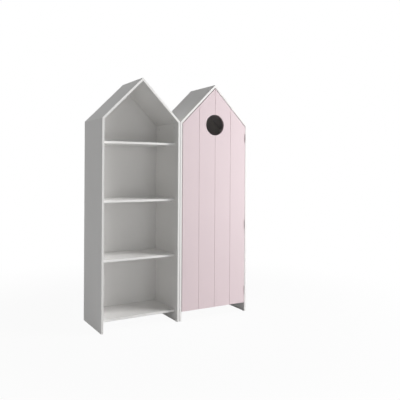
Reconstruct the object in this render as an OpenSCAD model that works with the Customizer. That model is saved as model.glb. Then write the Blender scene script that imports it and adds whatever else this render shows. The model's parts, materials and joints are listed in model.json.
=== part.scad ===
// Pair of house-shaped children's storage units: an open shelf unit on the left
// and a cabinet of the same carcass on the right, closed by one inset door.
// Millimetres, +Z up, X across the front, Y from front to back.
// The origin is the centre of the bounding box's bottom face, on the floor.

/* [Carcass] */
// Width of one unit over its side panels
unit_w = 576; // [500:1:700]
// Depth of the side and roof panels
unit_d = 370; // [320:1:450]
// Height of the outer eave corner above the floor
eave_h = 1420; // [1400:1:1600]
// Slope of both roof panels in degrees
roof_pitch = 45; // [35:1:50]
// Thickness of every carcass panel and shelf
panel_t = 15; // [15:1:19]
// Radius of the eased front edges
edge_r = 1; // [0.5:0.1:2]
// Space between the two units where they stand side by side
unit_gap = 2.5; // [2:0.5:30]

/* [Shelves] */
// Height of the bottom board's underside above the floor
toe_h = 65; // [40:1:90]
// Distance from one shelf to the next, underside to underside
shelf_pitch = 397; // [360:1:400]
// How far the shelves stand back from the front of the side panels
shelf_setback = 48; // [44:1:70]
// Gap between each end of a loose shelf and the side panel
shelf_slack = 0.5; // [0.3:0.1:1]
// Drilling pitch of the shelf support holes
system_pitch = 32; // [25:1:32]

/* [Back] */
// Thickness of the back panel
back_t = 4; // [3:0.5:4.5]
// Width of the rebate that the back panel lies in
rebate_w = 7; // [5:0.5:8]
// Depth of that rebate from the rear edge
rebate_d = 5; // [5:0.5:8]
// Gap round the edge of the back panel in its rebate
back_slack = 0.5; // [0.3:0.1:1]

/* [Door] */
// Thickness of the door
door_t = 16; // [15:0.5:19]
// Gap along the door's free edge and both roof edges
door_gap = 4.5; // [2.5:0.1:5]
// Height of the door's lower edge above the bottom board's underside
door_lift = 5; // [2:1:12]
// Number of boards that the grooves divide the door's face into
door_boards = 4; // [2:1:6]
// Width of a V groove at the surface
groove_w = 4; // [3:0.5:8]
// Depth of a V groove
groove_d = 2; // [1.5:0.1:4]
// Diameter of the round window that also serves as the door pull
window_d = 152; // [90:1:180]
// Height of the window's centre below the outer eave corner
window_drop = 8; // [0:1:60]
// Radius of the eased rim of the window
window_rim_r = 2; // [1:0.5:3]

/* [Hinges] */
// Height of one hinge
hinge_h = 60; // [50:1:80]
// Width of a hinge leaf along the panel
leaf_w = 14; // [12:0.5:14.5]
// Thickness of a hinge leaf
leaf_t = 1.1; // [1:0.1:1.5]
// Outer radius of the hinge knuckles
knuckle_r = 3; // [2.8:0.1:4]
// Radius of the hinge pin
hinge_pin_r = 1.5; // [1.2:0.1:1.7]
// Distance from the door's end to the nearest hinge's centre
hinge_inset = 97; // [80:1:120]

/* [Fittings] */
// Radius of a cam lock
cam_r = 7.4; // [6:0.1:7.4]
// Height of a cam lock
cam_h = 12; // [10.5:0.5:12]
// Distance from a joint to its cam lock's centre
cam_reach = 34; // [24:1:40]
// Radius of a wooden dowel
dowel_r = 4; // [3:0.5:4]
// Radius of the pin of a shelf support
support_r = 2.45; // [2:0.05:3]
// Height of the glides under the side panels
glide_h = 3; // [2:0.5:5]
// Radius of the wall screw's hole in the anchor bracket
wall_hole_r = 3; // [2.5:0.5:4]

/* [Hidden] */
$fn = 48;
fit = 0.05;
cut = 1;

// Roof: where the slopes, mitres and ridge lie
peak_h = eave_h + unit_w / 2 * tan(roof_pitch);
slope_len = unit_w / 2 / cos(roof_pitch);
mitre_fall = (1 - sin(roof_pitch)) / cos(roof_pitch);
eave_mitre = panel_t * mitre_fall;
ridge_mitre = panel_t * tan(roof_pitch);

// Places across the front: the outer left face of each unit
shelf_x = -unit_gap / 2 - unit_w;
cabinet_x = unit_gap / 2;

// Hinge: both leaves fill the gap on the hinge side of the door
leaf_gap = 0.2;
hinge_gap = 2 * leaf_t + leaf_gap;
axis_x = unit_w - panel_t - hinge_gap / 2;
axis_y = -knuckle_r - leaf_gap;
knuckles = 5;
knuckle_h = (hinge_h - (knuckles - 1) * leaf_gap) / knuckles;

// Places from front to back: the whole pair is centred on the origin
front_y = -(unit_d + axis_y - knuckle_r) / 2;
back_y = unit_d - rebate_d;
shelf_d = back_y - shelf_setback;

// Heights
lower_z = toe_h + shelf_pitch;
middle_z = toe_h + 2 * shelf_pitch;
upper_z = toe_h + 3 * shelf_pitch;
door_z = toe_h + door_lift;
window_z = eave_h - window_drop;
hinge_heights = [door_z + hinge_inset, (lower_z + panel_t + middle_z) / 2, eave_h - hinge_inset];

// Fixed joints: a bolt near each corner of a board, a dowel beside each bolt
bolt_inset = 40;
bolt_ys = [shelf_setback + bolt_inset, back_y - bolt_inset];
bolt_thread_r = 2.45;
bolt_thread_len = 10.5;
bolt_shank_r = 2.5;
bolt_collar_h = 1.5;
bolt_head_r = 3.4;
bolt_head_h = 3;
bolt_end_gap = 0.5;
bolt_bore_r = 4;
bolt_play = 0.3;
dowel_inset = bolt_inset + system_pitch;
dowel_ys = [shelf_setback + dowel_inset, back_y - dowel_inset];
dowel_in_side = 10;
dowel_in_board = 20;
dowel_end_gap = 1;
mitre_inset = 60;
mitre_ys = [mitre_inset, unit_d - mitre_inset];
mitre_joint_r = 3.4;

// Cam locks, sunk below the board's face, and the caps over them
cam_sink = 0.5;
cam_bore_h = cam_h + cam_sink;
cam_play = 0.1;
cam_slot_len = 8;
cam_slot_w = 1.2;
cam_slot_depth = 2;
cap_rim = 1.1;
cap_h = 0.8;
cap_plug_h = 0.4;
cap_play = 0.2;

// Loose shelves: supports near the front and the back
support_inset = 50;
support_ys = [shelf_setback + support_inset, back_y - support_inset];
support_in_side = 9;
support_out = 9;
support_ledge_r = 4;
support_drop = 2.5;

// Back panel nails
nail_r = 1;
nail_head_r = 2.5;
nail_head_h = 0.8;
nail_bite = 16;
nail_x = panel_t - rebate_w / 2;
nail_margin = 55;
side_nails = 5;
side_nail_step = (eave_h - toe_h - 2 * nail_margin) / (side_nails - 1);
side_nail_zs = [for (i = [0 : side_nails - 1]) toe_h + nail_margin + i * side_nail_step];
roof_nail_ss = [slope_len * 0.25, slope_len * 0.75];
board_nail_xs = [unit_w * 0.3, unit_w * 0.7];

// Glides
glide_r = 7;
glide_inset = 25;
glide_ys = [glide_inset, unit_d - glide_inset];
glide_nail_len = 14;

// Wall anchor bracket
bracket_w = 30;
bracket_leg = 30;
bracket_t = 2;
bend_r = 2;
bracket_hole_at = 18;
bracket_screw_r = 1.75;
bracket_screw_len = 12;
bracket_head_r = 3.5;
bracket_head_h = 2;

// Hinge and catch screws
screw_r = 1.4;
screw_head_r = 2.6;
screw_head_h = 1;
leaf_screw_zs = [-hinge_h / 3, 0, hinge_h / 3];
frame_screw_len = 11;
door_screw_len = 14;
pin_flare = 1;

// Magnetic catches behind the door's free edge
strike_t = 1.2;
strike_w = 20;
strike_h = 40;
strike_margin = 0.5;
strike_x = panel_t + door_gap + strike_margin;
strike_screw_at = 15;
strike_screw_z = 14;
strike_screw_len = 10;
catch_gap = 0.3;
catch_y = door_t + strike_t + catch_gap;
catch_w = 14;
catch_d = 15;
catch_h = 46;
pocket_x = 3;
pocket_w = 10;
pocket_d = 10;
pocket_h = 30;
pole_t = 1.5;
magnet_sink = 1;
catch_screw_z = 19;
catch_head_h = 1.5;
catch_heights = [eave_h / 4, eave_h * 3 / 4];

lacquer = [0.93, 0.93, 0.92];
blush = [0.90, 0.84, 0.86];
fibreboard = [0.88, 0.88, 0.87];
nylon = [0.95, 0.95, 0.95];
enamel = [0.92, 0.92, 0.91];
zinc = [0.70, 0.71, 0.73];
steel = [0.62, 0.63, 0.65];
beech = [0.80, 0.66, 0.46];
ferrite = [0.20, 0.20, 0.21];

// Height of the eave's mitre plane at a distance x in from the outer face
function mitre_z(x) = eave_h - x * mitre_fall;

// Height of a line parallel to the left roof slope, set in by a distance
function slope_z(x, inset) = eave_h + x * tan(roof_pitch) - inset / cos(roof_pitch);

// Gable outline set in from the outer faces, with its lower edge at z0
function gable(inset, z0) = [
    [inset, z0],
    [inset, slope_z(inset, inset)],
    [unit_w / 2, slope_z(unit_w / 2, inset)],
    [unit_w - inset, slope_z(inset, inset)],
    [unit_w - inset, z0]
];

module on_shelf_unit() {
    translate([shelf_x, front_y, 0]) children();
}

module on_cabinet() {
    translate([cabinet_x, front_y, 0]) children();
}

// Whatever is drawn for the left half is repeated for the right half
module right_half() {
    translate([unit_w, 0, 0]) mirror([1, 0, 0]) children();
}

module both_halves() {
    children();
    right_half() children();
}

// A drawing in X and Z becomes a plate that runs back from y0
module upright_plate(points, y0, depth) {
    translate([0, y0 + depth, 0]) rotate([90, 0, 0]) linear_extrude(depth) polygon(points);
}

// Cross-section of a board, thickness along X, with its front edges eased
module eased_section(thick, depth) {
    translate([0, edge_r]) square([thick, depth - edge_r]);
    translate([edge_r, 0]) square([thick - 2 * edge_r, 2 * edge_r]);
    for (x = [edge_r, thick - edge_r]) translate([x, edge_r]) circle(edge_r);
}

// Side and roof panels are cut from one length of board with a rebate for the back
module plank(len) {
    linear_extrude(len) difference() {
        eased_section(panel_t, unit_d);
        translate([panel_t - rebate_w, back_y]) square([rebate_w + cut, rebate_d + cut]);
    }
}

// Frame of the left roof panel: Z up the slope, X inwards through its thickness
module on_slope() {
    translate([0, 0, eave_h]) rotate([0, 90 - roof_pitch, 0]) children();
}

// Cylinder through a board's thickness or edge, from a point towards the outer left
module bore_left(r, len) {
    rotate([0, -90, 0]) cylinder(r = r, h = len);
}

// Cam lock places, with Z out of the face and X towards the bolt

module at_board_cams(z) {
    for (y = bolt_ys) translate([panel_t + cam_reach, y, z]) rotate([0, 180, 0]) children();
}

module at_side_cams() {
    for (y = mitre_ys)
        translate([panel_t, y, eave_h - eave_mitre / 2 - cam_reach])
            rotate([0, 90, 0]) rotate([0, 0, 180]) children();
}

module at_roof_cams() {
    on_slope() for (y = mitre_ys) {
        translate([panel_t, y, eave_mitre / 2 + cam_reach]) rotate([0, 90, 0]) children();
        translate([panel_t, y, slope_len - ridge_mitre / 2 - cam_reach])
            rotate([0, 90, 0]) rotate([0, 0, 180]) children();
    }
}

module at_all_cams() {
    both_halves() {
        at_board_cams(toe_h) children();
        at_board_cams(upper_z) children();
        at_side_cams() children();
        at_roof_cams() children();
    }
}

module cam_bore() {
    translate([0, 0, -cam_bore_h]) cylinder(r = cam_r + cam_play, h = cam_bore_h + cut);
    translate([0, 0, -panel_t / 2]) rotate([0, 90, 0]) cylinder(r = bolt_bore_r, h = cam_reach + bolt_bore_r);
}

module cam_lock() {
    difference() {
        translate([0, 0, -cam_bore_h]) cylinder(r = cam_r, h = cam_h);
        translate([0, 0, -panel_t / 2]) rotate([0, 90, 0])
            cylinder(r = bolt_head_r + bolt_play, h = cam_r + cut);
        for (a = [0, 90]) rotate([0, 0, a])
            translate([-cam_slot_len / 2, -cam_slot_w / 2, -cam_sink - cam_slot_depth])
                cube([cam_slot_len, cam_slot_w, cam_slot_depth + cut]);
    }
}

module cam_cap() {
    cylinder(r = cam_r + cap_rim, h = cap_h);
    translate([0, 0, -cap_plug_h]) cylinder(r = cam_r - cap_play, h = cap_plug_h + cap_h);
}

// Shank of a bolt along +Z with the head that its cam lock grips
module bolt_leg() {
    head_z = cam_reach - bolt_end_gap - bolt_head_h;
    cylinder(r = bolt_shank_r, h = head_z + bolt_head_h / 2);
    translate([0, 0, head_z]) cylinder(r = bolt_head_r, h = bolt_head_h);
}

// Bolt from the side panel into a fixed board, drawn from the board's end along +X
module cam_bolt() {
    bore_left(bolt_thread_r, bolt_thread_len);
    rotate([0, 90, 0]) cylinder(r = bolt_bore_r - bolt_play, h = bolt_collar_h);
    rotate([0, 90, 0]) bolt_leg();
}

// Jointed bolts that pull the two halves of a mitre together
module eave_bolt() {
    translate([panel_t / 2, 0, mitre_z(panel_t / 2)]) {
        sphere(r = mitre_joint_r);
        rotate([180, 0, 0]) bolt_leg();
        rotate([0, 90 - roof_pitch, 0]) bolt_leg();
    }
}

module ridge_bolt() {
    translate([unit_w / 2, 0, slope_z(unit_w / 2, panel_t / 2)]) {
        sphere(r = mitre_joint_r);
        for (side = [-1, 1]) rotate([0, side * (90 + roof_pitch), 0]) bolt_leg();
    }
}

// Carcass panels, drawn for the left half of a unit

module nail_hole() {
    rotate([90, 0, 0]) cylinder(r = nail_r + fit, h = nail_bite + fit);
}

module side_holes() {
    for (z = [toe_h, upper_z]) {
        for (y = bolt_ys) translate([panel_t, y, z + panel_t / 2])
            bore_left(bolt_thread_r + fit, bolt_thread_len + fit);
        for (y = dowel_ys) translate([panel_t, y, z + panel_t / 2]) bore_left(dowel_r + fit, dowel_in_side);
    }
    for (z = [lower_z, middle_z], step = [-1, 0, 1], y = support_ys)
        translate([panel_t, y, z - support_drop + step * system_pitch])
            bore_left(support_r + fit, support_in_side);
    for (z = side_nail_zs) translate([nail_x, back_y, z]) nail_hole();
    for (y = glide_ys) translate([panel_t / 2, y, 0])
        cylinder(r = nail_r + fit, h = glide_h + glide_nail_len + fit);
    at_side_cams() cam_bore();
}

module side_panel() {
    difference() {
        translate([0, 0, glide_h]) plank(eave_h);
        upright_plate([
            [-cut, mitre_z(-cut)],
            [panel_t + cut, mitre_z(panel_t + cut)],
            [panel_t + cut, eave_h + 2 * glide_h],
            [-cut, eave_h + 2 * glide_h]
        ], -cut, unit_d + 2 * cut);
        side_holes();
    }
}

module roof_panel() {
    reach = 3 * panel_t;
    difference() {
        on_slope() translate([0, 0, -reach]) plank(slope_len + 2 * reach);
        upright_plate([
            [-reach, mitre_z(-reach)],
            [reach, mitre_z(reach)],
            [reach, eave_h - 2 * reach],
            [-reach, eave_h - 2 * reach]
        ], -cut, unit_d + 2 * cut);
        translate([unit_w / 2, -cut, eave_h])
            cube([2 * reach, unit_d + 2 * cut, peak_h - eave_h + 2 * reach]);
        on_slope() for (s = roof_nail_ss) translate([nail_x, back_y, s]) nail_hole();
        at_roof_cams() cam_bore();
    }
}

// A board between the side panels, its underside at z
module board(x, len, z) {
    translate([x, shelf_setback, z + panel_t]) rotate([0, 90, 0])
        linear_extrude(len) eased_section(panel_t, shelf_d);
}

module fixed_board(z) {
    difference() {
        board(panel_t, unit_w - 2 * panel_t, z);
        both_halves() {
            at_board_cams(z) cam_bore();
            for (y = dowel_ys) translate([panel_t + dowel_in_board, y, z + panel_t / 2])
                bore_left(dowel_r + fit, dowel_in_board + cut);
        }
        for (x = board_nail_xs) translate([x, back_y, z + panel_t / 2]) nail_hole();
    }
}

module upper_board() {
    difference() {
        fixed_board(upper_z);
        translate([unit_w / 2, back_y - bracket_hole_at, upper_z + panel_t - bracket_screw_len])
            cylinder(r = bracket_screw_r + fit, h = bracket_screw_len + cut);
    }
}

module loose_shelf(z) {
    board(panel_t + shelf_slack, unit_w - 2 * (panel_t + shelf_slack), z);
}

module back_panel() {
    difference() {
        upright_plate(gable(panel_t - rebate_w + back_slack, toe_h), back_y, back_t);
        at_nails() translate([0, cut, 0]) rotate([-90, 0, 0])
            translate([0, 0, -2 * cut]) cylinder(r = nail_r + fit, h = back_t + 3 * cut);
        translate([unit_w / 2, back_y - cut, upper_z + panel_t + bracket_hole_at])
            rotate([-90, 0, 0]) cylinder(r = wall_hole_r, h = back_t + 2 * cut);
    }
}

// Nail places on the rebate's shoulder and the rear edges of the fixed boards
module at_nails() {
    both_halves() {
        for (z = side_nail_zs) translate([nail_x, back_y, z]) children();
        on_slope() for (s = roof_nail_ss) translate([nail_x, back_y, s]) children();
    }
    for (z = [toe_h, upper_z], x = board_nail_xs) translate([x, back_y, z + panel_t / 2]) children();
}

// Fittings of one unit

module cam_bolts() {
    both_halves() for (z = [toe_h, upper_z], y = bolt_ys)
        translate([panel_t, y, z + panel_t / 2]) cam_bolt();
}

module mitre_bolts() {
    for (y = mitre_ys) translate([0, y, 0]) {
        both_halves() eave_bolt();
        ridge_bolt();
    }
}

module dowels() {
    both_halves() for (z = [toe_h, upper_z], y = dowel_ys)
        translate([panel_t + dowel_in_board - dowel_end_gap, y, z + panel_t / 2])
            bore_left(dowel_r, dowel_in_board + dowel_in_side - dowel_end_gap);
}

// Shelf support: a pin in the side panel and a ledge with a flat top
module support() {
    bore_left(support_r, support_in_side);
    intersection() {
        rotate([0, 90, 0]) cylinder(r = support_ledge_r, h = support_out);
        translate([0, -support_ledge_r, -support_ledge_r])
            cube([support_out, 2 * support_ledge_r, support_ledge_r + support_drop]);
    }
}

module supports() {
    both_halves() for (z = [lower_z, middle_z], y = support_ys)
        translate([panel_t, y, z - support_drop]) support();
}

module back_nails() {
    at_nails() {
        translate([0, back_t, 0]) rotate([90, 0, 0]) cylinder(r = nail_r, h = back_t + nail_bite);
        translate([0, back_t + nail_head_h, 0]) rotate([90, 0, 0]) cylinder(r = nail_head_r, h = nail_head_h);
    }
}

module glides() {
    both_halves() for (y = glide_ys) translate([panel_t / 2, y, 0]) {
        cylinder(r = glide_r, h = glide_h);
        cylinder(r = nail_r, h = glide_h + glide_nail_len);
    }
}

// Side view of the bracket: two legs from the origin, towards -X and +Y, joined by a bend
module bracket_bend() {
    outer_r = bend_r + bracket_t;
    translate([-bracket_leg, 0]) square([bracket_leg - outer_r, bracket_t]);
    translate([-bracket_t, outer_r]) square([bracket_t, bracket_leg - outer_r]);
    translate([-outer_r, outer_r]) intersection() {
        difference() {
            circle(outer_r);
            circle(bend_r);
        }
        translate([0, -outer_r]) square(outer_r);
    }
}

// Bent bracket on the upper board, against the back panel
module wall_bracket() {
    translate([unit_w / 2, back_y, upper_z + panel_t]) difference() {
        translate([-bracket_w / 2, 0, 0]) rotate([90, 0, 90]) linear_extrude(bracket_w) bracket_bend();
        translate([0, cut, bracket_hole_at]) rotate([90, 0, 0])
            cylinder(r = wall_hole_r, h = bracket_t + 2 * cut);
        translate([0, -bracket_hole_at, -cut])
            cylinder(r = bracket_screw_r + fit, h = bracket_t + 2 * cut);
    }
}

module bracket_screw() {
    translate([unit_w / 2, back_y - bracket_hole_at, upper_z + panel_t + bracket_t]) {
        cylinder(r = bracket_head_r, h = bracket_head_h);
        translate([0, 0, -bracket_t - bracket_screw_len + fit])
            cylinder(r = bracket_screw_r, h = bracket_t + bracket_screw_len);
    }
}

// Door

// Plate of the door's thickness, bounded by a line through a point, its front edge eased
module eased_half(x, z, angle) {
    span = 2 * (unit_w + peak_h);
    translate([x, 0, z]) rotate([0, angle, 0]) translate([0, 0, -span / 2]) linear_extrude(span) {
        translate([0, edge_r]) square([span, door_t - edge_r]);
        translate([edge_r, 0]) square([span - edge_r, 2 * edge_r]);
        translate([edge_r, edge_r]) circle(edge_r);
    }
}

module door_blank() {
    inset = panel_t + door_gap;
    intersection() {
        eased_half(inset, 0, 0);
        eased_half(unit_w - panel_t - hinge_gap, 0, 180);
        eased_half(unit_w / 2, door_z, -90);
        eased_half(0, slope_z(0, inset), 90 - roof_pitch);
        eased_half(unit_w, slope_z(0, inset), 90 + roof_pitch);
    }
}

module grooves() {
    left = panel_t + door_gap;
    board_w = (unit_w - panel_t - hinge_gap - left) / door_boards;
    for (i = [1 : door_boards - 1])
        translate([left + i * board_w, 0, 0]) linear_extrude(peak_h)
            polygon([[-groove_w, -groove_d], [groove_w, -groove_d], [0, groove_d]]);
}

module window() {
    translate([unit_w / 2, 0, window_z]) rotate([-90, 0, 0]) {
        translate([0, 0, -cut]) cylinder(d = window_d, h = door_t + 2 * cut, $fn = 96);
        rotate_extrude($fn = 96) difference() {
            translate([window_d / 2 - cut, -cut]) square([window_rim_r + cut, window_rim_r + cut]);
            translate([window_d / 2 + window_rim_r, window_rim_r]) circle(window_rim_r);
        }
    }
}

// Hinges: each is drawn round its own axis, with the side panel on +X

module at_hinges() {
    for (z = hinge_heights) translate([axis_x, axis_y, z]) children();
}

// A leaf with every second knuckle, starting with the first or the second from below
module leaf(first) {
    difference() {
        union() {
            translate([leaf_gap / 2, -axis_y, -hinge_h / 2]) cube([leaf_t, leaf_w, hinge_h]);
            for (i = [first : 2 : knuckles - 1])
                translate([0, 0, -hinge_h / 2 + i * (knuckle_h + leaf_gap)]) {
                    cylinder(r = knuckle_r, h = knuckle_h);
                    translate([leaf_gap / 2, 0, 0]) cube([leaf_t, cut - axis_y, knuckle_h]);
                }
        }
        translate([0, 0, -hinge_h]) cylinder(r = hinge_pin_r + fit, h = 2 * hinge_h);
        at_leaf_screws() countersunk(fit, leaf_t + cut);
    }
}

module at_leaf_screws() {
    for (z = leaf_screw_zs) translate([leaf_gap / 2, leaf_w / 2 - axis_y, z]) rotate([0, 90, 0]) children();
}

// Countersunk screw along +Z with its head's face at zero, or its hole with some play
module countersunk(play, len) {
    cylinder(r1 = screw_head_r + play, r2 = screw_r + play, h = screw_head_h);
    cylinder(r = screw_r + play, h = len);
}

module hinge_pin() {
    cylinder(r = hinge_pin_r, h = hinge_h + cut, center = true);
    for (side = [0, 180]) rotate([side, 0, 0]) translate([0, 0, hinge_h / 2 + fit])
        cylinder(r1 = hinge_pin_r + pin_flare, r2 = hinge_pin_r, h = pin_flare);
}

// Catches and strikes, at their places on the left side panel and the door

module at_catches() {
    for (z = catch_heights) translate([panel_t, catch_y, z]) children();
}

module at_catch_screws() {
    for (side = [-1, 1]) translate([0, catch_d / 2, side * catch_screw_z]) children();
}

module catch_case() {
    difference() {
        translate([0, 0, -catch_h / 2]) cube([catch_w, catch_d, catch_h]);
        translate([pocket_x, -cut, -pocket_h / 2]) cube([pocket_w, pocket_d + cut, pocket_h]);
        at_catch_screws() translate([-cut, 0, 0]) rotate([0, 90, 0])
            cylinder(r = screw_r + fit, h = catch_w + 2 * cut);
    }
}

module catch_pole(x) {
    translate([pocket_x + x, 0, -pocket_h / 2]) cube([pole_t, pocket_d, pocket_h]);
}

module catch_magnet() {
    translate([pocket_x + pole_t, magnet_sink, -pocket_h / 2])
        cube([pocket_w - 2 * pole_t, pocket_d - magnet_sink, pocket_h]);
}

module catch_screw() {
    translate([catch_w + catch_head_h, 0, 0]) {
        bore_left(screw_r, catch_head_h + catch_w + frame_screw_len);
        bore_left(screw_head_r, catch_head_h);
    }
}

module at_strike_screws() {
    for (z = catch_heights, side = [-1, 1])
        translate([strike_x + strike_screw_at, door_t + strike_t, z + side * strike_screw_z])
            rotate([90, 0, 0]) children();
}

// Sub-parts of the open shelf unit

module shelf_left_side() {
    color(lacquer) on_shelf_unit() side_panel();
}

module shelf_right_side() {
    color(lacquer) on_shelf_unit() right_half() side_panel();
}

module shelf_roof_left() {
    color(lacquer) on_shelf_unit() roof_panel();
}

module shelf_roof_right() {
    color(lacquer) on_shelf_unit() right_half() roof_panel();
}

module shelf_bottom() {
    color(lacquer) on_shelf_unit() fixed_board(toe_h);
}

module shelf_lower() {
    color(lacquer) on_shelf_unit() loose_shelf(lower_z);
}

module shelf_middle() {
    color(lacquer) on_shelf_unit() loose_shelf(middle_z);
}

module shelf_upper() {
    color(lacquer) on_shelf_unit() upper_board();
}

module shelf_back() {
    color(fibreboard) on_shelf_unit() back_panel();
}

module shelf_cam_bolts() {
    color(steel) on_shelf_unit() cam_bolts();
}

module shelf_cam_locks() {
    color(zinc) on_shelf_unit() at_all_cams() cam_lock();
}

module shelf_cam_caps() {
    color(nylon) on_shelf_unit() at_all_cams() cam_cap();
}

module shelf_mitre_bolts() {
    color(steel) on_shelf_unit() mitre_bolts();
}

module shelf_dowels() {
    color(beech) on_shelf_unit() dowels();
}

module shelf_supports() {
    color(steel) on_shelf_unit() supports();
}

module shelf_back_nails() {
    color(steel) on_shelf_unit() back_nails();
}

module shelf_glides() {
    color(nylon) on_shelf_unit() glides();
}

module shelf_wall_bracket() {
    color(zinc) on_shelf_unit() wall_bracket();
}

module shelf_bracket_screw() {
    color(steel) on_shelf_unit() bracket_screw();
}

// Sub-parts of the cabinet's carcass

module cabinet_left_side() {
    color(lacquer) on_cabinet() difference() {
        side_panel();
        at_catches() at_catch_screws() bore_left(screw_r + fit, frame_screw_len + fit);
    }
}

module cabinet_right_side() {
    color(lacquer) on_cabinet() difference() {
        right_half() side_panel();
        at_hinges() at_leaf_screws() cylinder(r = screw_r + fit, h = leaf_t + frame_screw_len + fit);
    }
}

module cabinet_roof_left() {
    color(lacquer) on_cabinet() roof_panel();
}

module cabinet_roof_right() {
    color(lacquer) on_cabinet() right_half() roof_panel();
}

module cabinet_bottom() {
    color(lacquer) on_cabinet() fixed_board(toe_h);
}

module cabinet_lower() {
    color(lacquer) on_cabinet() loose_shelf(lower_z);
}

module cabinet_middle() {
    color(lacquer) on_cabinet() loose_shelf(middle_z);
}

module cabinet_upper() {
    color(lacquer) on_cabinet() upper_board();
}

module cabinet_back() {
    color(fibreboard) on_cabinet() back_panel();
}

module cabinet_cam_bolts() {
    color(steel) on_cabinet() cam_bolts();
}

module cabinet_cam_locks() {
    color(zinc) on_cabinet() at_all_cams() cam_lock();
}

module cabinet_cam_caps() {
    color(nylon) on_cabinet() at_all_cams() cam_cap();
}

module cabinet_mitre_bolts() {
    color(steel) on_cabinet() mitre_bolts();
}

module cabinet_dowels() {
    color(beech) on_cabinet() dowels();
}

module cabinet_supports() {
    color(steel) on_cabinet() supports();
}

module cabinet_back_nails() {
    color(steel) on_cabinet() back_nails();
}

module cabinet_glides() {
    color(nylon) on_cabinet() glides();
}

module cabinet_wall_bracket() {
    color(zinc) on_cabinet() wall_bracket();
}

module cabinet_bracket_screw() {
    color(steel) on_cabinet() bracket_screw();
}

// Sub-parts of the door, its hinges and its catches

module door_panel() {
    color(blush) on_cabinet() difference() {
        door_blank();
        grooves();
        window();
        at_hinges() mirror([1, 0, 0]) at_leaf_screws()
            cylinder(r = screw_r + fit, h = leaf_t + door_screw_len + fit);
        at_strike_screws() cylinder(r = screw_r + fit, h = strike_t + strike_screw_len + fit);
    }
}

module hinge_frame_leaves() {
    color(enamel) on_cabinet() at_hinges() leaf(0);
}

module hinge_door_leaves() {
    color(enamel) on_cabinet() at_hinges() mirror([1, 0, 0]) leaf(1);
}

module hinge_pins() {
    color(enamel) on_cabinet() at_hinges() hinge_pin();
}

module hinge_frame_screws() {
    color(steel) on_cabinet() at_hinges() at_leaf_screws() countersunk(0, leaf_t + frame_screw_len);
}

module hinge_door_screws() {
    color(steel) on_cabinet() at_hinges() mirror([1, 0, 0]) at_leaf_screws()
        countersunk(0, leaf_t + door_screw_len);
}

module catch_cases() {
    color(nylon) on_cabinet() at_catches() catch_case();
}

module catch_magnets() {
    color(ferrite) on_cabinet() at_catches() catch_magnet();
}

module catch_poles() {
    color(zinc) on_cabinet() at_catches() {
        catch_pole(0);
        catch_pole(pocket_w - pole_t);
    }
}

module catch_screws() {
    color(steel) on_cabinet() at_catches() at_catch_screws() catch_screw();
}

module strike_plates() {
    color(zinc) on_cabinet() difference() {
        for (z = catch_heights) translate([strike_x, door_t, z - strike_h / 2])
            cube([strike_w, strike_t, strike_h]);
        at_strike_screws() countersunk(fit, strike_t + cut);
    }
}

module strike_screws() {
    color(steel) on_cabinet() at_strike_screws() countersunk(0, strike_t + strike_screw_len);
}

shelf_left_side();
shelf_right_side();
shelf_roof_left();
shelf_roof_right();
shelf_bottom();
shelf_lower();
shelf_middle();
shelf_upper();
shelf_back();
shelf_cam_bolts();
shelf_cam_locks();
shelf_cam_caps();
shelf_mitre_bolts();
shelf_dowels();
shelf_supports();
shelf_back_nails();
shelf_glides();
shelf_wall_bracket();
shelf_bracket_screw();
cabinet_left_side();
cabinet_right_side();
cabinet_roof_left();
cabinet_roof_right();
cabinet_bottom();
cabinet_lower();
cabinet_middle();
cabinet_upper();
cabinet_back();
cabinet_cam_bolts();
cabinet_cam_locks();
cabinet_cam_caps();
cabinet_mitre_bolts();
cabinet_dowels();
cabinet_supports();
cabinet_back_nails();
cabinet_glides();
cabinet_wall_bracket();
cabinet_bracket_screw();
door_panel();
hinge_frame_leaves();
hinge_door_leaves();
hinge_pins();
hinge_frame_screws();
hinge_door_screws();
catch_cases();
catch_magnets();
catch_poles();
catch_screws();
strike_plates();
strike_screws();
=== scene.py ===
"""Finishes, fittings and studio for a pair of house-shaped children's storage units."""

import json

import bpy
import numpy as np
from bpy.props import FloatProperty, FloatVectorProperty, IntProperty, PointerProperty
from mathutils import Matrix, Vector


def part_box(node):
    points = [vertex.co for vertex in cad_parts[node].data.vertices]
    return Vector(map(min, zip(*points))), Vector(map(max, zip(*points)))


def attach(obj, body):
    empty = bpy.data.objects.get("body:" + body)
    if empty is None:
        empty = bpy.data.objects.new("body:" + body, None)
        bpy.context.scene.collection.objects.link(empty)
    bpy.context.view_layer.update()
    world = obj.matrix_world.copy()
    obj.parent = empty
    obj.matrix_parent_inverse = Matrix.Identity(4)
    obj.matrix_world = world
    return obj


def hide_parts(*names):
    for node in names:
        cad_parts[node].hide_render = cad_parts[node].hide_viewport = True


bl_info = {
    "name": "House-Shaped Storage Units",
    "version": (1, 0, 0),
    "blender": (4, 5, 0),
    "location": "3D View > Sidebar > House Units",
    "description": "Finishes, fittings and studio for an open shelf unit and a cabinet",
    "category": "Object",
}

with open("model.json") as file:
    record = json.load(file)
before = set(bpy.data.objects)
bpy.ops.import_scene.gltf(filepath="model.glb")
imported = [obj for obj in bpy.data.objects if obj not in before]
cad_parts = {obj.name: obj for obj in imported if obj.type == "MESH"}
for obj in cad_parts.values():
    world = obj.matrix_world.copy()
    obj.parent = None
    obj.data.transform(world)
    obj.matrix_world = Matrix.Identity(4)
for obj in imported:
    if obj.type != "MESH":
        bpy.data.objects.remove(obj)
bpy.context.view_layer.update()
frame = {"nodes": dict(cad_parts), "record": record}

MM = 0.001
UNITS = ("shelf", "cabinet")
SLOT_OF = {part["node"]: part["material_slot"] for part in frame["record"]["subparts"]}
BODY_OF = {node: body for body, nodes in frame["record"]["behaviour"]["bodies"].items()
           for node in nodes}

# Angle between two faces above which their edge is shown sharp
SHARP = np.radians(35)
# Rings of points on a screw's face and in one turn of its thread, and points in a dowel's flute
RINGS_A_FACE = 12
RINGS_A_TURN = 7
POINTS_A_FLUTE = 6
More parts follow.
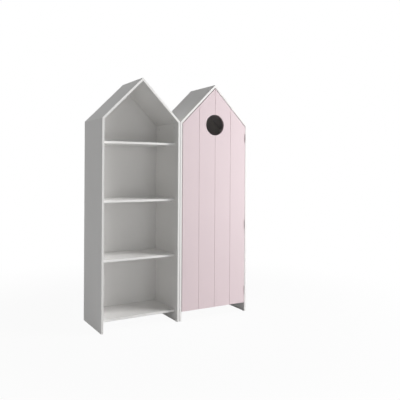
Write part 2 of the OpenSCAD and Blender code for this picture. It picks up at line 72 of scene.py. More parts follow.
# Turn of each screw's cross recess against the one before
SPIN = 2.4

# Width of the camera's sensor in millimetres, and the nearest and farthest that it sees
SENSOR = 36.0
CLIP = (0.05, 60.0)
# Place that the lamps face, and the lamps' own places
MIDDLE = (0.0, 0.0, 0.9)
LAMPS = {"front": (0.37, -4.18, 0.9), "right": (3.44, -2.41, 0.9), "high": (2.91, -2.44, 4.6),
         "left": (-5.0, 0.3, 1.45)}
# Half of the floor's width, and the distances between which its picture turns wholly white
FLOOR_HALF = 12.0
WHITE_FROM, WHITE_TO = 1.0, 2.6


# Settings


class FinishSettings(bpy.types.PropertyGroup):
    """Colours and surface sizes of the lacquers and the other finishes"""

    white: FloatVectorProperty(
        name="White lacquer", description="Colour of the carcass panels and shelves",
        subtype="COLOR", size=3, min=0, max=1, default=(0.88, 0.872, 0.858))
    pink: FloatVectorProperty(
        name="Pink lacquer", description="Colour of the door",
        subtype="COLOR", size=3, min=0, max=1, default=(0.814, 0.682, 0.71))
    fibre: FloatVectorProperty(
        name="Raw fibreboard", description="Colour of the back panels seen from behind",
        subtype="COLOR", size=3, min=0, max=1, default=(0.40, 0.27, 0.17))
    nylon: FloatVectorProperty(
        name="White nylon", description="Colour of the moulded caps, glides and catches",
        subtype="COLOR", size=3, min=0, max=1, default=(0.80, 0.80, 0.78))
    zinc: FloatVectorProperty(
        name="Zinc", description="Colour of the cam locks, catch poles and strikes",
        subtype="COLOR", size=3, min=0, max=1, default=(0.62, 0.63, 0.65))
    steel: FloatVectorProperty(
        name="Steel", description="Colour of the screws, bolts, nails and shelf supports",
        subtype="COLOR", size=3, min=0, max=1, default=(0.56, 0.57, 0.59))
    tarnish: FloatVectorProperty(
        name="Tarnish", description="Colour of the dull blots on the steel",
        subtype="COLOR", size=3, min=0, max=1, default=(0.30, 0.27, 0.23))
    beech: FloatVectorProperty(
        name="Beech", description="Colour of the wooden dowels",
        subtype="COLOR", size=3, min=0, max=1, default=(0.58, 0.38, 0.21))
    ferrite: FloatVectorProperty(
        name="Ferrite", description="Colour of the catches' magnets",
        subtype="COLOR", size=3, min=0, max=1, default=(0.035, 0.035, 0.04))
    sheen: FloatProperty(
        name="Lacquer roughness", description="Roughness of the satin lacquers",
        subtype="FACTOR", min=0, max=1, default=0.42)
    specular: FloatProperty(
        name="Lacquer specular", description="Strength of the satin lacquers' reflections",
        subtype="FACTOR", min=0, max=1, default=0.34)
    peel_wave: FloatProperty(
        name="Peel width", description="Width of one ripple in the sprayed lacquer",
        unit="LENGTH", min=0.0005, max=0.01, default=0.0024, precision=4)
    peel_height: FloatProperty(
        name="Peel height", description="Height of the ripples in the sprayed lacquer",
        unit="LENGTH", min=0, max=0.0005, default=0.00002, precision=5)
    boards: IntProperty(
        name="Door boards", description="Boards that the grooves divide the door's face into",
        min=1, max=8, default=4)
    groove: FloatProperty(
        name="Groove width", description="Width of a groove in the door's face",
        unit="LENGTH", min=0.001, max=0.01, default=0.004, precision=4)
    window_height: FloatProperty(
        name="Window height", description="Height of the round window's centre above the floor",
        unit="LENGTH", default=1.412)
    window_radius: FloatProperty(
        name="Window radius", description="Radius of the round window in the door",
        unit="LENGTH", default=0.076)


class FittingSettings(bpy.types.PropertyGroup):
    """Sizes of the small turned and moulded pieces"""

    sides: IntProperty(
        name="Sides", description="Sides of a turned piece", min=12, max=64, default=32)
    thread_pitch: FloatProperty(
        name="Thread pitch", description="Distance from one turn of a screw thread to the next",
        unit="LENGTH", min=0.0005, max=0.003, default=0.0013, precision=4)
    thread_depth: FloatProperty(
        name="Thread depth", description="Height of a screw thread over its core",
        unit="LENGTH", min=0.0001, max=0.001, default=0.0003, precision=4)
    recess_width: FloatProperty(
        name="Recess width", description="Width of the cross recess in a screw head",
        unit="LENGTH", min=0.0003, max=0.002, default=0.0008, precision=4)
    recess_depth: FloatProperty(
        name="Recess depth", description="Depth of the cross recess in a screw head",
        unit="LENGTH", min=0.0002, max=0.002, default=0.0008, precision=4)
    flutes: IntProperty(
        name="Flutes", description="Glue flutes round a dowel", min=6, max=30, default=16)


class StudioSettings(bpy.types.PropertyGroup):
    """Camera, lamps and floor"""

    camera_place: FloatVectorProperty(
        name="Camera", description="Place of the camera",
        subtype="TRANSLATION", unit="LENGTH", size=3, default=(-1.7052, -3.3757, 1.0912))
    heading: FloatProperty(
        name="Heading", description="Direction of view, turned from straight ahead to the right",
        subtype="ANGLE", default=np.radians(30.32))
    pitch: FloatProperty(
        name="Pitch", description="How far the camera looks up",
        subtype="ANGLE", default=np.radians(-0.162))
    roll: FloatProperty(
        name="Roll", description="How far the camera is tilted",
        subtype="ANGLE", default=np.radians(0.347))
    lens: FloatProperty(
        name="Lens", description="Focal length on a 36 mm sensor",
        subtype="DISTANCE_CAMERA", default=45.91)
    rise: FloatProperty(
        name="Rise", description="Vertical shift of the lens", default=-0.0751)
    ambient: FloatProperty(
        name="Ambient", description="Strength of the light from all round", min=0, default=0.09)
    front: FloatProperty(
        name="Front", description="Power of the weak lamp low in front",
        unit="POWER", min=0, default=19)
    right: FloatProperty(
        name="Right", description="Power of the lamp low in front on the right",
        unit="POWER", min=0, default=85)
    high: FloatProperty(
        name="High", description="Power of the lamp high in front on the right",
        unit="POWER", min=0, default=153)
    left: FloatProperty(
        name="Left", description="Power of the weak lamp beside the units on the left",
        unit="POWER", min=0, default=28)
    lamp_size: FloatProperty(
        name="Lamp size", description="Width of each square lamp",
        unit="LENGTH", min=0.1, default=2.0)
    floor_colour: FloatVectorProperty(
        name="Floor", description="Colour of the floor as it lights the units",
        subtype="COLOR", size=3, min=0, max=1, default=(0.60, 0.60, 0.60))
    floor_glow: FloatProperty(
        name="Floor white", description="Share of plain white over the shadow on the floor",
        subtype="FACTOR", min=0, max=1, default=0.95)


# Shader maths


class Wire:
    """A shader socket. Sums and products of wires and numbers add Math nodes."""

    def __init__(self, graph, socket):
        self.graph = graph
        self.socket = socket

    def __add__(self, other):
        return self.graph.math("ADD", self, other)

    def __sub__(self, other):
        return self.graph.math("SUBTRACT", self, other)

    def __rsub__(self, other):
        return self.graph.math("SUBTRACT", other, self)

    def __mul__(self, other):
        return self.graph.math("MULTIPLY", self, other)

    def __truediv__(self, other):
        return self.graph.math("DIVIDE", self, other)

    __radd__ = __add__
    __rmul__ = __mul__


class Graph:
    """The node tree of one material, or of the world that is given."""

    def __init__(self, name, world=None):
        self.material = world or bpy.data.materials.new(name)
        self.material.use_nodes = True
        self.tree = self.material.node_tree
        self.tree.nodes.clear()
        self.place = None if world else self.add("ShaderNodeTexCoord", output="Object")

    def add(self, kind, settings=None, inputs=None, output=0):
        """Adds one node: its settings first, then the values or wires of its sockets."""
        node = self.tree.nodes.new(kind)
        for key, value in (settings or {}).items():
            setattr(node, key, value)
        for key, value in (inputs or {}).items():
            if isinstance(value, Wire):
                self.tree.links.new(value.socket, node.inputs[key])
            else:
                node.inputs[key].default_value = value
        return Wire(self, node.outputs[output])

    def math(self, operation, *values, clamp=False):
        """Adds a Math node."""
        settings = {"operation": operation, "use_clamp": clamp}
        return self.add("ShaderNodeMath", settings, dict(enumerate(values)))

    def axis(self, name, vector=None):
        """X, Y or Z of the place, or of the vector that is given."""
        return self.add("ShaderNodeSeparateXYZ", inputs={"Vector": vector or self.place},
                        output=name)

    def noise(self, width, detail=2.0, roughness=0.5, place=None):
        """Cloud whose blots are about as wide as given."""
        return self.add("ShaderNodeTexNoise", {"noise_dimensions": "3D"}, {
            "Vector": place or self.place, "Scale": 1 / width,
            "Detail": detail, "Roughness": roughness})

    def stretched(self, scale):
        """The place with each axis scaled, for a grain that runs along one of them."""
        return self.add("ShaderNodeMapping", {"vector_type": "POINT"},
                        {"Vector": self.place, "Scale": scale})

    def step(self, value, low, high):
        """Smooth step from 0 at low to 1 at high."""
        return self.add("ShaderNodeMapRange", {"interpolation_type": "SMOOTHSTEP"}, {
            "Value": value, "From Min": low, "From Max": high})

    def mix(self, factor, first, second):
        """Colour between two colours."""
        return self.add("ShaderNodeMix", {"data_type": "RGBA"}, {
            "Factor": factor, 6: opaque(first), 7: opaque(second)}, output=2)

    def tone(self, colour, amount):
        """Colour made lighter or darker by an amount near 1."""
        return self.add("ShaderNodeVectorMath", {"operation": "SCALE"},
                        {0: colour, "Scale": amount})

    def bump(self, height, distance):
        """Normal of a surface with these heights, from 0 to 1, times a distance."""
        return self.add("ShaderNodeBump", inputs={
            "Height": height, "Distance": distance, "Strength": 1.0})

    def finish(self, **sockets):
        """The shader itself, whose sockets are named with underscores for spaces."""
        return self.show(self.add("ShaderNodeBsdfPrincipled", inputs={
            key.replace("_", " "): value for key, value in sockets.items()}))

    def show(self, shader):
        """Sends a shader to the output."""
        kind = "ShaderNodeOutputWorld" if self.place is None else "ShaderNodeOutputMaterial"
        output = self.tree.nodes.new(kind)
        self.tree.links.new(shader.socket, output.inputs["Surface"])
        return self.material


def opaque(colour):
    """A plain colour gets an alpha of 1, and a wire stays as it is."""
    return colour if isinstance(colour, Wire) else (*colour[:3], 1.0)


# Materials


def sprayed(graph, settings, edge):
    """Tone, roughness and height that every sprayed lacquer shares.

    Edge is 1 on cut edges and 0 on faces. Cut edges get a painted highlight: a paler tone that
    stands in for light on them. They are also rougher. The height is the ripple of the spray with
    a finer grit on it."""
    cloud = graph.noise(350 * MM, detail=2)
    smudge = graph.noise(60 * MM, detail=4, roughness=0.6)
    peel = graph.noise(settings.peel_wave, detail=1)
    grit = graph.noise(settings.peel_wave / 6, detail=0)
    # Painted highlight: cut edges are up to 9% paler, a little less where the smudge cloud is
    # high
    tone = 0.985 + cloud * 0.03 + edge * (0.09 - smudge * 0.02)
    roughness = settings.sheen - 0.05 + smudge * 0.10 + edge * 0.05
    height = peel + grit * (0.08 + edge * 0.2)
    return tone, roughness, height


def panel_lacquer(settings, name, front):
    """White satin lacquer on board whose front edge lies at a given place along Y."""
    graph = Graph(name)
    # Front edge band: sprayed() paints it paler as a painted highlight and makes it rougher
    edge = 1 - graph.step(graph.axis("Y") - front, 0.8 * MM, 1.6 * MM)
    tone, roughness, height = sprayed(graph, settings, edge)
    return graph.finish(Base_Color=graph.tone(settings.white[:], tone), Roughness=roughness,
                        Specular_IOR_Level=settings.specular,
                        Normal=graph.bump(height, settings.peel_height))


def door_lacquer(settings):
    """Pink satin lacquer, duller in the grooves and where hands reach the window's rim.

    The grooves lie at whole numbers of board widths from the door's left edge, and the place's
    distance from the nearest one is that number's fraction, from -0.5 to 0.5, times the width."""
    graph = Graph("Pink lacquer")
    low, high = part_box("door_panel")
    x, y, z = (graph.axis(name) for name in "XYZ")
    board = (high.x - low.x) / settings.boards
    across = graph.math("FRACT", (x - low.x) / board + 0.5) - 0.5
    from_groove = graph.math("ABSOLUTE", across) * board
    first, last = low.x + board / 2, high.x - board / 2
    inner = graph.step(x, first, first + MM) * (1 - graph.step(x, last - MM, last))
    near_face = 1 - graph.step(y - low.y, 3 * MM, 4 * MM)
    dip = 1 - graph.step(from_groove, settings.groove * 0.3, settings.groove * 0.6)
    groove = dip * inner * near_face
    aside, above = x - (low.x + high.x) / 2, z - settings.window_height
    reach = graph.math("SQRT", aside * aside + above * above) - settings.window_radius
    handled = 1 - graph.step(reach, 2 * MM, 65 * MM)
    # Left edge band of the door: sprayed() paints it paler as a painted highlight and makes it
    # rougher
    edge = 1 - graph.step(x - low.x, 0.6 * MM, 1.4 * MM)
    tone, roughness, height = sprayed(graph, settings, edge)
    return graph.finish(Base_Color=graph.tone(settings.pink[:], tone),
                        Roughness=roughness + handled * 0.05 + groove * 0.1,
                        Specular_IOR_Level=settings.specular,
                        Normal=graph.bump(height, settings.peel_height))


def back_board(settings):
    """Thin fibreboard: a matt white face inside, and raw pressed fibre with flecks behind."""
    graph = Graph("White-faced fibreboard")
    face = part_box("shelf_back")[0].y
    raw = graph.step(graph.axis("Y"), face + 0.4 * MM, face + 0.6 * MM)
    fibres = graph.noise(1.2 * MM, detail=3, roughness=0.7,
                         place=graph.stretched((1.0, 1.0, 0.35)))
    flecks = graph.noise(4 * MM, detail=2)
    cloud = graph.noise(300 * MM, detail=2)
    white = graph.tone(settings.white[:], 0.97 + cloud * 0.03)
    brown = graph.tone(settings.fibre[:], 0.72 + fibres * 0.35 + flecks * 0.15 + cloud * 0.1)
    return graph.finish(Base_Color=graph.mix(raw, white, brown),
                        Roughness=0.55 + raw * 0.2 + fibres * 0.08, Specular_IOR_Level=0.35,
                        Normal=graph.bump(fibres + flecks * 0.5, 0.03 * MM))


def enamel(settings):
    """Baked white enamel on the hinges and wall brackets, with a fine ripple."""
    graph = Graph("White enamel")
    ripple = graph.noise(1.6 * MM, detail=1)
    cloud = graph.noise(20 * MM, detail=2)
    return graph.finish(Base_Color=graph.tone(settings.white[:], 0.98 + cloud * 0.03),
                        Roughness=0.42 + ripple * 0.08, Normal=graph.bump(ripple, 0.01 * MM))


def moulded(settings):
    """White nylon with the fine grain of its mould."""
    graph = Graph("White nylon")
    grain = graph.noise(0.5 * MM, detail=2)
    flow = graph.noise(6 * MM, detail=1)
    return graph.finish(Base_Color=graph.tone(settings.nylon[:], 0.97 + flow * 0.05),
                        Roughness=0.45 + grain * 0.15, Normal=graph.bump(grain, 0.02 * MM))


def plated(settings):
    """Zinc plate: dull metal with a faint crystal pattern of about 2 mm."""
    graph = Graph("Zinc plate")
    spangle = graph.add("ShaderNodeTexVoronoi", {"feature": "F1"}, {
        "Vector": graph.place, "Scale": 450.0, "Randomness": 1.0}, output="Color")
    shade = graph.axis("X", spangle)
    haze = graph.noise(4 * MM, detail=3)
    return graph.finish(Base_Color=graph.tone(settings.zinc[:], 0.88 + shade * 0.14),
                        Metallic=1.0, Roughness=0.32 + shade * 0.10 + haze * 0.10,
                        Normal=graph.bump(haze + shade * 0.2, 0.01 * MM))


def drawn(settings):
    """Bright plated steel with fine drawing lines and a little tarnish."""
    graph = Graph("Bright steel")
    lines = graph.noise(0.3 * MM, detail=2, place=graph.stretched((0.15, 1.0, 1.0)))
    blots = graph.noise(3 * MM, detail=3)
    dull = graph.step(blots, 0.55, 0.75) * 0.35
    return graph.finish(Base_Color=graph.mix(dull, settings.steel[:], settings.tarnish[:]),
                        Metallic=1.0, Roughness=0.20 + lines * 0.12 + blots * 0.08,
                        Normal=graph.bump(lines, 0.005 * MM))


def beech(settings):
    """Beech with its grain and short ray flecks along the dowels, which lie from side to side."""
    graph = Graph("Beech")
    grain = graph.noise(1.2 * MM, detail=4, place=graph.stretched((0.08, 1.0, 1.0)))
    ray = graph.noise(0.7 * MM, detail=1, place=graph.stretched((0.3, 1.0, 1.0)))
    fleck = graph.step(ray, 0.62, 0.70)
    wood = graph.tone(settings.beech[:], 0.85 + grain * 0.3)
    dark = [channel * 0.55 for channel in settings.beech]
    return graph.finish(Base_Color=graph.mix(fleck * 0.5, wood, dark),
                        Roughness=0.55 + grain * 0.15, Normal=graph.bump(grain, 0.04 * MM))


def sintered(settings):
    """Dark sintered magnet with a fine grit."""
    graph = Graph("Ferrite")
    grit = graph.noise(0.4 * MM, detail=3)
    return graph.finish(Base_Color=graph.tone(settings.ferrite[:], 0.7 + grit * 0.6),
                        Roughness=0.50 + grit * 0.2, Normal=graph.bump(grit, 0.03 * MM))


def made_of(slot, ending=""):
    """CAD nodes that the record gives a material slot to, and whose names have an ending."""
    return [node for node, name in SLOT_OF.items() if name == slot and node.endswith(ending)]


def coat(nodes, material):
    """Gives CAD nodes their material."""
    for node in nodes:
        for slot in frame["nodes"][node].material_slots:
            slot.material = material


# Turned and moulded pieces


def solids_of(node):
    """The points of each separate solid of a CAD node.

    Every point starts with its own number, and each triangle spreads the lowest of its three
    numbers, until nothing changes and each solid has one number."""
    mesh = frame["nodes"][node].data
    points = np.empty(len(mesh.vertices) * 3)
    mesh.vertices.foreach_get("co", points)
    corners = np.empty(len(mesh.loops), dtype=int)
    mesh.loops.foreach_get("vertex_index", corners)
    points, same = np.unique(np.round(points.reshape(-1, 3), 6), axis=0, return_inverse=True)
    triangles = same.reshape(-1)[corners].reshape(-1, 3)
    label = np.arange(len(points))
    while True:
        before = label.copy()
        np.minimum.at(label, triangles, label[triangles].min(axis=1, keepdims=True))
        label = label[label]
        if (label == before).all():
            return [points[label == number] for number in np.unique(label)]


def axis_of(points):
    """Line of most spread of a solid's points, or of least spread if the solid is a disc."""
    spread, lines = np.linalg.eigh(np.cov((points - points.mean(axis=0)).T))
    flat, evenly_wide = spread[1] > 3 * spread[0], spread[2] < 1.5 * spread[1]
    return lines[:, 0] if flat and evenly_wide else lines[:, 2]


def seats_of(node, axis=None):
    """Turn, place and length of each solid of a node.

    Z runs along its axis, which is found if it isn't given, and starts at its wider end: the one
    whose last 8% reaches farther from the axis."""
    seats = []
    for points in solids_of(node):
        middle = (points.min(axis=0) + points.max(axis=0)) / 2
        line = axis_of(points) if axis is None else np.array(axis, dtype=float)
        along = (points - middle) @ line
        off = np.linalg.norm(points - middle - np.outer(along, line), axis=1)
        low, high = along.min(), along.max()
        margin = (high - low) * 0.08
        if off[along > high - margin].max() > off[along < low + margin].max() + 0.01 * MM:
            line, low, high = -line, -high, -low
        upright = abs(line[2]) >= 0.8
        side = np.cross((0.0, 1.0, 0.0) if upright else (0.0, 0.0, 1.0), line)
        side /= np.linalg.norm(side)
        turn = np.stack([side, np.cross(line, side), line], axis=1)
        seats.append((turn, middle + line * low, high - low))
    return seats


def angles(count):
    """Angles in even steps round a full turn."""
    return np.arange(count) * 2 * np.pi / count


def rings(radius, angle, height):
    """Points round Z: cosine and sine of the angle times the radius, at the height."""
    return np.stack([radius * np.cos(angle), radius * np.sin(angle), height + 0 * angle], axis=-1)


def turned(profile, sides):
    """Surface of revolution: each (radius, height) of the profile becomes a ring round Z."""
    profile = np.asarray(profile, dtype=float)
    return rings(profile[:, :1], angles(sides), profile[:, 1:])


def rounded(start, end, steps=5):
    """Quarter of an ellipse between two profile points, leaving the first along the radius:
    the radius follows the sine of the angle, and the height 1 minus its cosine."""
    t = np.linspace(0, np.pi / 2, steps)
    (r0, h0), (r1, h1) = start, end
    return np.stack([r0 + (r1 - r0) * np.sin(t), h0 + (h1 - h0) * (1 - np.cos(t))], axis=1)


def ramp(value, width):
    """Straight rise from 0 to 1 while the value goes from 0 to the width."""
    return np.clip(value / width, 0, 1)


def skin(sections):
    """Closed surface over rings of points, whose first and last rings close in one point each:
    its points, the quads between the rings and the triangles at the ends.

    Sections is rings x points x 3. Faces point outwards where the rings follow each other along
    +Z and the points run round anticlockwise."""
    count, sides = sections.shape[:2]
    points = np.concatenate([sections.reshape(-1, 3),
                             sections[:1].mean(axis=1), sections[-1:].mean(axis=1)])
    here = np.arange(sides)
    there = (here + 1) % sides
    ring = np.arange(count - 1)[:, None] * sides
    quads = np.stack([ring + here, ring + there, ring + there + sides, ring + here + sides],
                     axis=-1).reshape(-1, 4)
    last, tip = (count - 1) * sides, count * sides
    start = np.stack([np.full(sides, tip), there, here], axis=-1)
    end = np.stack([np.full(sides, tip + 1), last + here, last + there], axis=-1)
    return points, quads, np.concatenate([start, end])


def fit(node, shape_of, material, axis=None):
    """Makes one mesh that stands for a CAD node and rides on its body.

    It holds one shape for each solid of the node, made for the solid's length and number and
    seated in its place."""
    points, faces, count = [], [], 0
    for number, (turn, origin, length) in enumerate(seats_of(node, axis)):
        shape, quads, ends = skin(shape_of(length, number))
        points.append(shape @ turn.T + origin)
        faces += (quads + count).tolist() + (ends + count).tolist()
        count += len(shape)
    mesh = bpy.data.meshes.new(node + "_made")
    mesh.from_pydata(np.concatenate(points), [], faces)
    mesh.polygons.foreach_set("use_smooth", np.ones(len(mesh.polygons), dtype=bool))
    mesh.set_sharp_from_angle(angle=SHARP)
    mesh.materials.append(bpy.data.materials[material])
    mesh.validate()
    made = bpy.data.objects.new(node + "_made", mesh)
    bpy.context.scene.collection.objects.link(made)
    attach(made, BODY_OF[node])
    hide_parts(node)


def fit_both(ending, shape_of, material, axis=None):
    """Makes the pieces of both units whose CAD nodes have an ending."""
    for unit in UNITS:
        fit(f"{unit}_{ending}", shape_of, material, axis)


def screw(sizes, head_r, head_h, shank_r, domed):
    """Shape of a wood screw for a length.

    Head: rings between two shares of its radius, inner and outer. A dome falls with the square
    of the radius. The cross recess is pressed in where the distance from the nearer arm's line,
    radius times sine or cosine of the angle, is under half its width, with sloping walls. Shank:
    its radius is the core's plus a triangle wave of height / pitch - angle / one turn, cut off
    below, which winds the thread. It fades out over 1 mm at the head and the tip."""
    dome = 0.35 if domed else 0.0
    inner, outer = 0.06, 0.92
    depth = min(sizes.recess_depth, head_h * 0.75)
    recess, wall = sizes.recess_width * 0.62, sizes.recess_width * 0.24
    arm_r, arm_end = head_r * 0.66, head_r * 0.12
    if domed:
        bend = rounded((head_r * outer, head_h * 0.32), (head_r, head_h * 0.75))
        rim = np.concatenate([bend, [[head_r, head_h], [shank_r, head_h]]])
    else:
        rim = [[head_r, 0], [head_r, head_h * 0.06], [shank_r, head_h]]
    core = shank_r - sizes.thread_depth
    angle = angles(sizes.sides)

    def shape(length, number):
        arm = angle + number * SPIN
        radius = np.linspace(inner, outer, RINGS_A_FACE)[:, None] * head_r
        nearest = np.minimum(np.abs(radius * np.sin(arm)), np.abs(radius * np.cos(arm)))
        pressed = ramp(recess - nearest, wall) * ramp(arm_r - radius, arm_end)
        crown = head_h * (radius / head_r) ** 2 * dome
        face = rings(radius, angle, crown + pressed * depth)
        end = length - shank_r
        height = np.arange(head_h + 0.2 * MM, end, sizes.thread_pitch / RINGS_A_TURN)[:, None]
        turns = height / sizes.thread_pitch - angle / (2 * np.pi)
        triangle = 1 - 2 * np.abs(turns % 1 - 0.5)
        wave = np.clip(1.6 * triangle - 0.6, 0, 1)
        fade = ramp(height - head_h, MM) * ramp(end - height, MM)
        shank = rings(core + sizes.thread_depth * wave * fade, angle, height)
        tip = turned([[core, end], [core * 0.1, length]], sizes.sides)
        return np.concatenate([face, turned(rim, sizes.sides), shank, tip])

    return shape


def nail(sizes, head_r, head_h, shank_r):
    """Shape of a nail for a length: a profile of a low dome, a straight shank and a plain cone,
    turned round Z."""

    def shape(length, _):
        crown = [[0.3 * head_r, 0.04 * head_h], [0.7 * head_r, 0.2 * head_h]]
        bend = rounded((0.85 * head_r, 0.35 * head_h), (head_r, 0.85 * head_h), 4)
        shank = [[head_r, head_h], [shank_r, head_h],
                 [shank_r, length - 3 * shank_r], [shank_r * 0.1, length]]
        return turned(np.concatenate([crown, bend, shank]), sizes.sides // 2)

    return shape


def cap(sizes, rim_r, rim_h, plug_r):
    """Shape of a cover cap for a length: a profile of a slightly hollow face inside a rounded
    rim, over a plug, turned round Z."""

    def shape(length, _):
        face = [[0.2 * rim_r, 0.14 * rim_h], [0.7 * rim_r, 0.10 * rim_h], [0.86 * rim_r, 0.0]]
        rim = rounded((0.9 * rim_r, 0.0), (rim_r, 0.8 * rim_h))
        plug = [[rim_r, rim_h], [plug_r, rim_h],
                [plug_r, length - 0.1 * MM], [plug_r - 0.1 * MM, length]]
        return turned(np.concatenate([face, rim, plug]), sizes.sides)

    return shape


def glide(sizes, disc_r, disc_h, nail_r):
    """Shape of a glide for a length: a profile of a disc with a rounded lower edge on a pointed
    nail, turned round Z."""
    bend, ease = 1.4 * MM, 0.2 * MM

    def shape(length, _):
        disc = np.concatenate([[[0.5 * disc_r, 0]], rounded((disc_r - bend, 0), (disc_r, bend)),
                               [[disc_r, disc_h - ease], [disc_r - ease, disc_h]]])
        shank = [[nail_r, disc_h], [nail_r, length - 3 * nail_r], [nail_r * 0.1, length]]
        return turned(np.concatenate([disc, shank]), sizes.sides)

    return shape


def dowel(sizes, radius):
    """Shape of a fluted dowel for a length: its radius dips by the third power of half of 1 plus
    the cosine of the angle times the flutes, and its ends are chamfered."""
    chamfer, flute_depth = 1.2 * MM, 0.35 * MM
    angle = angles(sizes.flutes * POINTS_A_FLUTE)
    flute = (0.5 + 0.5 * np.cos(sizes.flutes * angle)) ** 3

    def shape(length, _):
        height = np.array([0, chamfer, length - chamfer, length])[:, None]
        size = np.array([radius - chamfer / 2, radius, radius, radius - chamfer / 2])[:, None]
        return rings(size - flute_depth * flute, angle, height)

    return shape


def shelf_support(sizes, ledge_r, ledge_top, pin_r):
    """Shape of a shelf support for a length: a profile of a ledge with an eased end and of its
    pin, turned round Z. The ledge is cut flat: its points reach no higher than its top, which
    dips by as much as its end is eased."""
    ease = 0.7 * MM

    def shape(length, _):
        half = length / 2
        profile = np.array([
            (ledge_r - ease, 0.0), (ledge_r - 0.3 * ease, 0.3 * ease), (ledge_r, ease),
            (ledge_r, half), (pin_r, half), (pin_r, length - ease), (pin_r - ease, length)])
        height = profile[:, 1:]
        top = np.where(height <= half, ledge_top - np.maximum(0.0, ease - height), pin_r)
        points = turned(profile, sizes.sides * 2)
        points[..., 1] = np.minimum(points[..., 1], top)
        return points

    return shape


# Operators


class HouseOperator:
    """What the operators share"""

    bl_options = {"REGISTER", "UNDO"}


class LacquerPanels(HouseOperator, bpy.types.Operator):
    """Finish the carcass panels and shelves in white lacquer"""

    bl_idname = "house.lacquer_panels"
    bl_label = "Lacquer Panels"

    def execute(self, context):
        fronts = {}
        for node in made_of("white_lacquer"):
            fronts.setdefault(round(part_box(node)[0].y, 4), []).append(node)
        for number, (front, nodes) in enumerate(sorted(fronts.items()), start=1):
            name = f"White lacquer {number}"
            coat(nodes, panel_lacquer(context.scene.house_finishes, name, front))
        return {"FINISHED"}


class LacquerDoor(HouseOperator, bpy.types.Operator):
    """Finish the grooved door in pink lacquer"""

    bl_idname = "house.lacquer_door"
    bl_label = "Lacquer Door"

    def execute(self, context):
        coat(made_of("pink_lacquer"), door_lacquer(context.scene.house_finishes))
        return {"FINISHED"}


class FinishBacks(HouseOperator, bpy.types.Operator):
    """Finish the back panels as white-faced fibreboard"""

    bl_idname = "house.finish_backs"
    bl_label = "Finish Backs"

    def execute(self, context):
        coat(made_of("white_fibreboard"), back_board(context.scene.house_finishes))
        return {"FINISHED"}


class FinishHardware(HouseOperator, bpy.types.Operator):
    """Finish the hinges, catches, locks, bolts, magnets and white-coated brackets"""

    bl_idname = "house.finish_hardware"
    bl_label = "Finish Hardware"

    def execute(self, context):
        finishes = {"white_enamel": enamel, "white_nylon": moulded, "zinc_alloy": plated,
                    "bright_steel": drawn, "beech": beech, "ferrite": sintered}
        for slot, make in finishes.items():
            coat(made_of(slot), make(context.scene.house_finishes))
        coat(made_of("zinc_alloy", "_wall_bracket"), bpy.data.materials["White enamel"])
        return {"FINISHED"}


class MakeScrews(HouseOperator, bpy.types.Operator):
    """Make threaded screws with cross recesses for the hinges, strikes, catches and brackets"""

    bl_idname = "house.make_screws"
    bl_label = "Make Screws"

    def execute(self, context):
        sizes = context.scene.house_fittings
        flush = screw(sizes, head_r=2.6 * MM, head_h=1.0 * MM, shank_r=1.4 * MM, domed=False)
        small = screw(sizes, head_r=2.6 * MM, head_h=1.5 * MM, shank_r=1.4 * MM, domed=True)
        large = screw(sizes, head_r=3.5 * MM, head_h=2.0 * MM, shank_r=1.75 * MM, domed=True)
        for node in ("hinge_frame_screws", "hinge_door_screws", "strike_screws"):
            fit(node, flush, "Bright steel")
        fit("catch_screws", small, "Bright steel")
        fit_both("bracket_screw", large, "Bright steel")
        return {"FINISHED"}


class MakeNails(HouseOperator, bpy.types.Operator):
    """Make the nails of the back panels"""

    bl_idname = "house.make_nails"
    bl_label = "Make Nails"

    def execute(self, context):
        shape = nail(context.scene.house_fittings,
                     head_r=2.5 * MM, head_h=0.8 * MM, shank_r=1.0 * MM)
        fit_both("back_nails", shape, "Bright steel")
        return {"FINISHED"}


class MakeCaps(HouseOperator, bpy.types.Operator):
    """Make the moulded caps over the cam locks"""

    bl_idname = "house.make_caps"
    bl_label = "Make Caps"

    def execute(self, context):
        shape = cap(context.scene.house_fittings,
                    rim_r=8.5 * MM, rim_h=0.8 * MM, plug_r=7.2 * MM)
        fit_both("cam_caps", shape, "White nylon")
        return {"FINISHED"}


class MakeGlides(HouseOperator, bpy.types.Operator):
    """Make the glides under the side panels"""

    bl_idname = "house.make_glides"
    bl_label = "Make Glides"

    def execute(self, context):
        shape = glide(context.scene.house_fittings,
                      disc_r=7.0 * MM, disc_h=3.0 * MM, nail_r=1.0 * MM)
        fit_both("glides", shape, "White nylon", axis=(0, 0, 1))
        return {"FINISHED"}


class MakeDowels(HouseOperator, bpy.types.Operator):
    """Make the fluted dowels of the fixed boards"""

    bl_idname = "house.make_dowels"
    bl_label = "Make Dowels"

    def execute(self, context):
        shape = dowel(context.scene.house_fittings, radius=4.0 * MM)
        fit_both("dowels", shape, "Beech", axis=(1, 0, 0))
        return {"FINISHED"}


class MakeSupports(HouseOperator, bpy.types.Operator):
    """Make the supports under the loose shelves"""

    bl_idname = "house.make_supports"
    bl_label = "Make Supports"

    def execute(self, context):
        shape = shelf_support(context.scene.house_fittings,
                              ledge_r=4.0 * MM, ledge_top=2.5 * MM, pin_r=2.45 * MM)
        fit_both("supports", shape, "Bright steel", axis=(1, 0, 0))
        return {"FINISHED"}


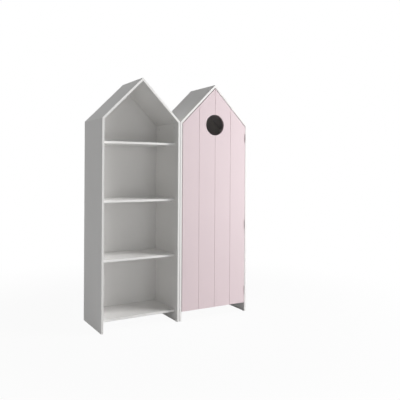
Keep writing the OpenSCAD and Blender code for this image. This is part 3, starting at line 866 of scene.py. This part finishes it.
class SetStudio(HouseOperator, bpy.types.Operator):
    """Set up the camera, the lamps, the white surroundings and the floor"""

    bl_idname = "house.set_studio"
    bl_label = "Set Studio"

    def execute(self, context):
        scene = context.scene
        scene.view_settings.view_transform = "Standard"
        self.set_camera(scene, scene.house_studio)
        self.set_floor(scene, scene.house_studio)
        self.set_surroundings(scene, scene.house_studio)
        for name, place in LAMPS.items():
            self.add_lamp(scene, scene.house_studio, name, Vector(place))
        return {"FINISHED"}

    def set_camera(self, scene, studio):
        """Heading turns the view to the right, then pitch lifts it and roll tilts it."""
        data = bpy.data.cameras.new("Camera")
        data.lens, data.sensor_width, data.shift_y = studio.lens, SENSOR, studio.rise
        data.clip_start, data.clip_end = CLIP
        camera = bpy.data.objects.new("Camera", data)
        heading = Matrix.Rotation(-studio.heading, 4, "Z")
        pitch = Matrix.Rotation(np.pi / 2 + studio.pitch, 4, "X")
        roll = Matrix.Rotation(studio.roll, 4, "Z")
        camera.matrix_world = Matrix.Translation(studio.camera_place) @ heading @ pitch @ roll
        scene.collection.objects.link(camera)
        scene.camera = camera

    def set_floor(self, scene, studio):
        """A wide square whose picture is mostly plain white, and wholly so far from the units."""
        mesh = bpy.data.meshes.new("Floor")
        corners = np.array([(-1, -1, 0), (1, -1, 0), (1, 1, 0), (-1, 1, 0)]) * FLOOR_HALF
        mesh.from_pydata(corners, [], [(0, 1, 2, 3)])
        floor = bpy.data.objects.new("Floor", mesh)
        scene.collection.objects.link(floor)
        graph = Graph("Studio floor")
        dust = graph.noise(20 * MM, detail=3)
        paint = graph.add("ShaderNodeBsdfDiffuse", inputs={
            "Color": graph.tone(studio.floor_colour[:], 0.98 + dust * 0.04)})
        white = graph.add("ShaderNodeEmission", inputs={"Color": (1, 1, 1, 1), "Strength": 1.0})
        distance = graph.add("ShaderNodeVectorMath", {"operation": "LENGTH"}, {0: graph.place},
                             output="Value")
        far = graph.step(distance, WHITE_FROM, WHITE_TO)
        share = studio.floor_glow + far * (1 - studio.floor_glow)
        mesh.materials.append(graph.show(graph.add("ShaderNodeMixShader", inputs={
            0: share * self.seen(graph), 1: paint, 2: white})))

    def set_surroundings(self, scene, studio):
        """The world lights evenly from all round and shows white."""
        scene.world = bpy.data.worlds.new("Studio")
        graph = Graph("Studio", scene.world)
        light = studio.ambient + self.seen(graph) * (1 - studio.ambient)
        graph.show(graph.add("ShaderNodeBackground", inputs={
            "Color": (1, 1, 1, 1), "Strength": light}))

    def seen(self, graph):
        """1 for rays that show the surroundings to the camera, straight or in gloss and glass."""
        straight, gloss, glass = (graph.add("ShaderNodeLightPath", output=ray) for ray in (
            "Is Camera Ray", "Is Glossy Ray", "Is Transmission Ray"))
        return graph.math("ADD", straight + gloss, glass, clamp=True)

    def add_lamp(self, scene, studio, name, place):
        """Square lamp at a place, with the power set under its name, facing the units' middle."""
        data = bpy.data.lights.new(name, "AREA")
        data.energy, data.size = getattr(studio, name), studio.lamp_size
        lamp = bpy.data.objects.new(name, data)
        turn = (Vector(MIDDLE) - place).to_track_quat("-Z", "Y").to_matrix().to_4x4()
        lamp.matrix_world = Matrix.Translation(place) @ turn
        scene.collection.objects.link(lamp)


class HousePanel(bpy.types.Panel):
    """Lists the steps that build the finished units"""

    bl_idname = "VIEW3D_PT_house_units"
    bl_label = "House Units"
    bl_space_type = "VIEW_3D"
    bl_region_type = "UI"
    bl_category = "House Units"

    def draw(self, context):
        for group in SETTINGS:
            settings = getattr(context.scene, group)
            column = self.layout.column(align=True)
            for name in settings.__annotations__:
                column.prop(settings, name)
        column = self.layout.column(align=True)
        for step in STEPS:
            column.operator(step.bl_idname)


STEPS = (LacquerPanels, LacquerDoor, FinishBacks, FinishHardware, MakeScrews, MakeNails, MakeCaps,
         MakeGlides, MakeDowels, MakeSupports, SetStudio)
SETTINGS = {"house_finishes": FinishSettings, "house_fittings": FittingSettings,
            "house_studio": StudioSettings}


def register():
    for name, kind in SETTINGS.items():
        bpy.utils.register_class(kind)
        setattr(bpy.types.Scene, name, PointerProperty(type=kind))
    for kind in (*STEPS, HousePanel):
        bpy.utils.register_class(kind)


def unregister():
    for kind in (HousePanel, *reversed(STEPS)):
        bpy.utils.unregister_class(kind)
    for name, kind in SETTINGS.items():
        delattr(bpy.types.Scene, name)
        bpy.utils.unregister_class(kind)


def main():
    register()
    for step in STEPS:
        getattr(bpy.ops.house, step.bl_idname.split(".")[1])()


if __name__ == "__main__":
    main()
